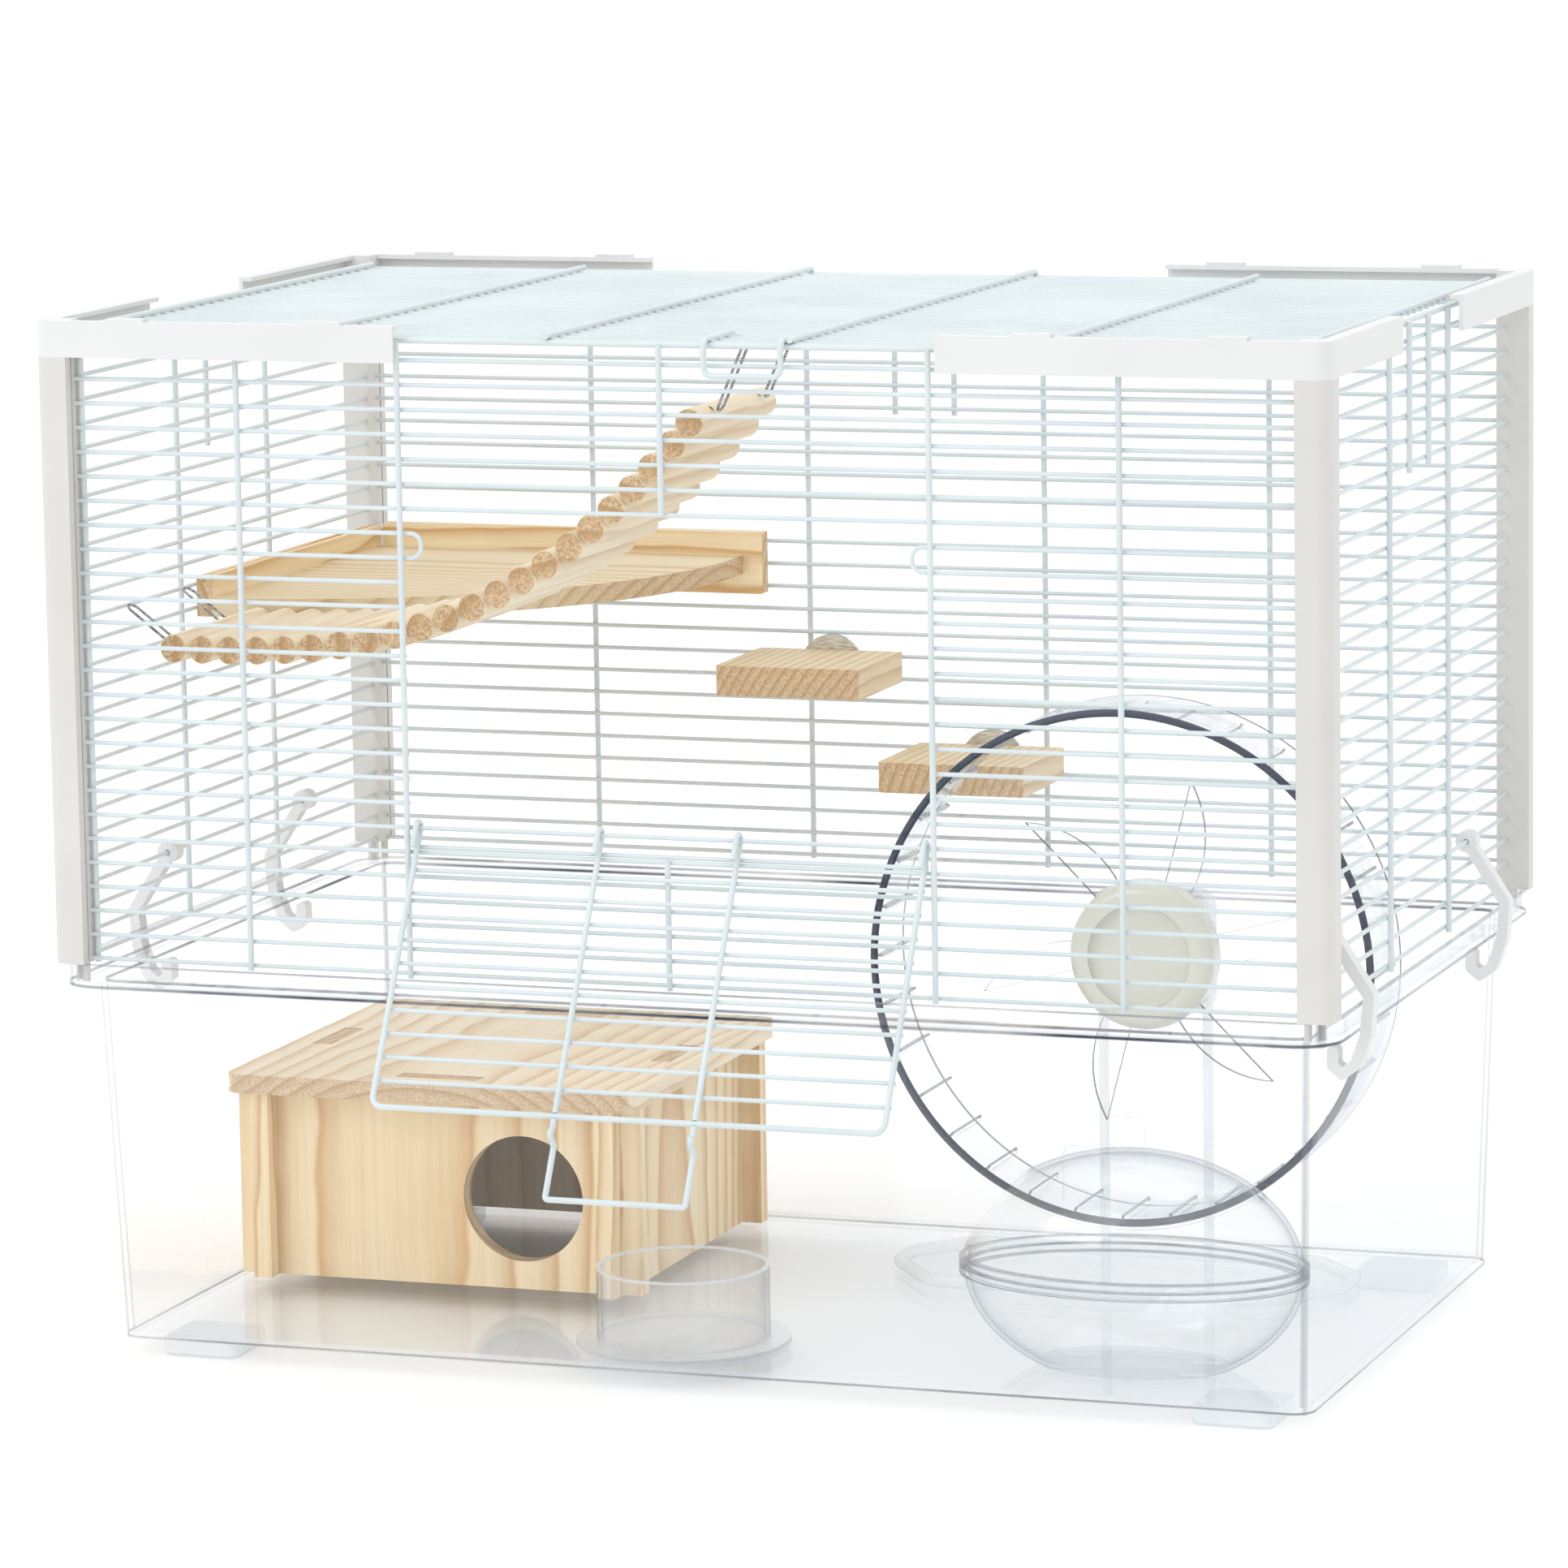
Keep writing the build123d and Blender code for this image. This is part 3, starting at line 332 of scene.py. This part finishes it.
def bath_plastic():
    """Blown clear bath, with painted dark edge shade along both sides of its seam."""
    material, tree, place = new_material("bath_clear")
    shader = clear_shader(tree, place, CLEAR_EDGE, 6.0)
    for low in (0.0523, 0.0558, 0.0596):
        shader = paint_edge_shade(tree, shader, level_shade_line(tree, place, low, low + SEAM_LINE, 0.7), GREY_EDGE_SHADE)
    finish_clear(tree, shader)
    return material


def bowl_plastic():
    """Clear cup, with a line of pale painted edge shade at its lip and at the top of its foot."""
    material, tree, place = new_material("bowl_clear")
    shader = clear_shader(tree, place, CLEAR_EDGE, 6.0, haze=0.04)
    for low, high in ((0.0129, 0.0137), (0.0455, 0.0468)):
        shader = paint_edge_shade(tree, shader, level_shade_line(tree, place, low, high, 0.9), PALE_EDGE_SHADE)
    finish_clear(tree, shader)
    return material


def wheel_disc_plastic():
    """Every cut edge of the disc gets a fine dark line of painted edge shade."""
    material, tree, place = new_material("wheel_disc_clear")
    shader = clear_shader(tree, place, CLEAR_EDGE, 9.0)
    cut_edge_shade = spread(tree, faces_along(tree, 1, 0.2, 0.5), (0.0, 1.0), (0.85, 0.0))
    finish_clear(tree, paint_edge_shade(tree, shader, cut_edge_shade, NAVY_EDGE_SHADE))
    return material


def wheel_drum_plastic(centre, rib_count, bore):
    """Clear running ring with a dark line of painted shade along the foot of each rib."""
    material, tree, place = new_material("wheel_drum_clear")
    shader = clear_shader(tree, place, CLEAR_EDGE, 8.0)
    x, _, z = split(tree, place)
    out_x = maths(tree, "SUBTRACT", x, centre[0])
    out_z = maths(tree, "SUBTRACT", z, centre[2])
    turns = maths(tree, "DIVIDE", maths(tree, "ARCTAN2", out_z, out_x), 2 * math.pi / rib_count)
    line = band(tree, maths(tree, "FRACT", maths(tree, "ADD", turns, 0.5)), 0.44, 0.5, 0.012)
    inside = spread(tree, distance(tree, out_x, out_z), (bore, bore + 0.0004), (0.75, 0.0))
    finish_clear(tree, paint_edge_shade(tree, shader, maths(tree, "MULTIPLY", line, inside), GREY_EDGE_SHADE))
    return material


# ---- paint the carried-over CAD nodes ----
def paint(names, material):
    for name in names:
        mesh = nodes[name].data
        mesh.materials.clear()
        mesh.materials.append(material)


def named(*starts):
    return [name for name in nodes if name.startswith(starts)]


def paint_plastics_and_metal():
    wire_coat = moulded("wire_coat", (0.66, 0.73, 0.75), (0.59, 0.66, 0.685), 0.34, 0.12, 0.2)
    post_ivory = moulded("post_ivory", (0.66, 0.65, 0.625), (0.62, 0.61, 0.585), 0.42)
    bracket_white = moulded("bracket_white", (0.74, 0.745, 0.745), (0.70, 0.708, 0.712), 0.36)
    hub_ivory = moulded("hub_ivory", (0.70, 0.70, 0.62), (0.655, 0.655, 0.575), 0.16, 0.05, 0.5)
    bright = steel("zinc", (0.5, 0.51, 0.52), (0.85, 0.86, 0.87), 0.2)
    dark = steel("hook_steel", (0.12, 0.125, 0.13), (0.5, 0.51, 0.52), 0.18)
    wire_pieces = named("front_", "back_panel", "left_panel", "right_panel", "door_guide_loops", "lid_")
    paint(wire_pieces, wire_coat)
    paint(named("corner_post_"), post_ivory)
    paint(named("corner_bracket_", "latch_"), bracket_white)
    paint(["wheel_hub_cap"], hub_ivory)
    paint(named("wheel_axle", "wheel_bearing", "jump_block_bolts", "jump_block_w"), bright)
    paint(named("bridge_hooks", "bridge_wires"), dark)


def paint_wood():
    paint(["house_roof"], timber("lit_roof_pine", "Y", (-0.19, 0.0), LIT_ROOF_PINE))
    paint(["house_front_wall"], timber("front_wall_pine", "Z", (-0.2, 0.16), PINE, 0.0075))
    paint(["house_back_wall"], timber("back_wall_pine", "Z", (-0.12, -0.05), PINE))
    paint(["house_left_wall"], timber("left_wall_pine", "Z", (-0.4, 0.12), PINE))
    paint(["house_right_wall"], timber("right_wall_pine", "Z", (0.02, 0.08), PINE))
    paint(["shelf_board"], timber("shelf_pine", "X", (0.16, 0.24), SHELF_PINE))
    paint(["shelf_back_rail"], timber("back_rail_pine", "X", (0.28, 0.28), PINE))
    paint(["shelf_side_rail"], timber("side_rail_pine", "Y", (-0.36, 0.3), PINE))
    paint(["jump_block_upper"], timber("upper_block_pine", "Y", (0.1, 0.22), SHELF_PINE, 0.005))
    paint(["jump_block_lower"], timber("lower_block_pine", "Y", (0.2, 0.17), SHELF_PINE, 0.005))
    paint(["bridge_rods"], timber("rod_wood", "Y", (-0.06, 0.3), ROD_PINE, 0.013, 1.0))


def paint_clear(wheel_centre, wheel_radius):
    paint(["base_tub"], tub_plastic())
    paint(named("tub_foot_"), clear("foot_clear", haze=0.6))
    paint(["wheel_back_disc"], wheel_disc_plastic())
    bore = wheel_radius - WHEEL_BORE_INSET
    paint(["wheel_drum"], wheel_drum_plastic(wheel_centre, WHEEL_RIBS, bore))
    paint(named("wheel_stand"), clear("stand_clear", haze=0.35, edge_power=6.0))
    paint(named("bath_"), bath_plastic())
    paint(["food_bowl"], bowl_plastic())


# ---- the wheel's dark rim line of painted edge shade ----
def rim_line(centre, radius, thickness):
    """Dark ring of painted edge shade just inside the wheel's front edge, which turns with the wheel.
    """
    around = 128
    tube = 10
    shape = bmesh.new()
    rows = []
    for i in range(around):
        turn = 2 * math.pi * i / around
        row = []
        for j in range(tube):
            roll = 2 * math.pi * j / tube
            out = radius + thickness * math.cos(roll)
            offset = Vector((out * math.cos(turn), thickness * math.sin(roll), out * math.sin(turn)))
            row.append(shape.verts.new(Vector(centre) + offset))
        rows.append(row)
    for i in range(around):
        row = rows[i]
        next_row = rows[(i + 1) % around]
        for j in range(tube):
            k = (j + 1) % tube
            face = shape.faces.new((row[j], row[k], next_row[k], next_row[j]))
            face.smooth = True
    mesh = bpy.data.meshes.new("wheel_rim_shade_line")
    shape.to_mesh(mesh)
    shape.free()
    mesh.materials.append(moulded("navy_edge_shade", (0.035, 0.05, 0.085), (0.02, 0.03, 0.055), 0.2))
    ring = bpy.data.objects.new("wheel_rim_shade_line", mesh)
    bpy.context.collection.objects.link(ring)
    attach(ring, "wheel")


# ---- studio ----
def build_studio():
    half = 60.0
    under_feet = -0.0002
    square = ((-half, -half), (half, -half), (half, half), (-half, half))
    corners = [(x, y, under_feet) for x, y in square]
    floor_mesh = bpy.data.meshes.new("studio_floor")
    floor_mesh.from_pydata(corners, [], [(0, 1, 2, 3)])
    floor = bpy.data.objects.new("studio_floor", floor_mesh)
    bpy.context.collection.objects.link(floor)
    material, tree, place = new_material("studio_paper")
    tint = ramp(tree, noise(tree, place, 4.0), (0.3, (0.955, 0.955, 0.955)), (0.7, (0.97, 0.97, 0.97)))
    inputs = {"Base Color": tint, "Roughness": 0.9}
    finish_material(tree, add(tree, "ShaderNodeBsdfPrincipled", inputs).outputs[0])
    floor_mesh.materials.append(material)
    world = bpy.data.worlds.new("studio_air")
    world.use_nodes = True
    back = world.node_tree.nodes["Background"]
    back.inputs[0].default_value = (1.0, 1.0, 1.0, 1.0)
    back.inputs[1].default_value = AIR_BRIGHTNESS
    bpy.context.scene.world = world


def softbox(name, place, size, power):
    """Rectangular lamp aimed at the middle of the cage."""
    data = bpy.data.lights.new(name, "AREA")
    data.shape = "RECTANGLE"
    data.size = size[0]
    data.size_y = size[1]
    data.energy = power
    lamp = bpy.data.objects.new(name, data)
    lamp.location = place
    aim = Vector(CAGE_MIDDLE) - Vector(place)
    lamp.rotation_euler = aim.to_track_quat("-Z", "Y").to_euler()
    bpy.context.collection.objects.link(lamp)


def place_camera():
    """Stands the camera in front of the cage, to its right and a little above it."""
    right = Vector((0.9431, 0.3322, -0.0159))
    down = Vector((0.0363, -0.1502, -0.988))
    forward = Vector((-0.3306, 0.9312, -0.1537))
    data = bpy.data.cameras.new("photo_camera")
    data.sensor_width = 36.0
    data.lens = 166.4
    data.clip_end = 50.0
    camera = bpy.data.objects.new("photo_camera", data)
    turn = Matrix((right, -down, -forward)).transposed().to_4x4()
    stand_point = Vector((1.0978, -3.0922, 0.7671))
    camera.matrix_world = Matrix.Translation(stand_point) @ turn
    bpy.context.collection.objects.link(camera)
    bpy.context.scene.camera = camera


drum_low, drum_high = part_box("wheel_drum")
wheel_centre = [(low + high) / 2 for low, high in zip(drum_low, drum_high)]
paint_plastics_and_metal()
paint_wood()
wheel_radius = (drum_high[0] - drum_low[0]) / 2
paint_clear(wheel_centre, wheel_radius)
rim_centre = (wheel_centre[0], drum_low[1] + RIM_LINE_DEPTH, wheel_centre[2])
rim_line(rim_centre, wheel_radius - RIM_LINE_INSET, RIM_LINE_THICKNESS)
build_studio()
softbox("key_box", (-1.6, -2.2, 2.6), (2.2, 2.2), KEY_POWER)
softbox("top_box", (0.3, 0.4, 3.0), (2.5, 2.0), TOP_POWER)
place_camera()
bpy.context.scene.view_settings.view_transform = "Standard"
bpy.context.scene.cycles.transparent_max_bounces = 48
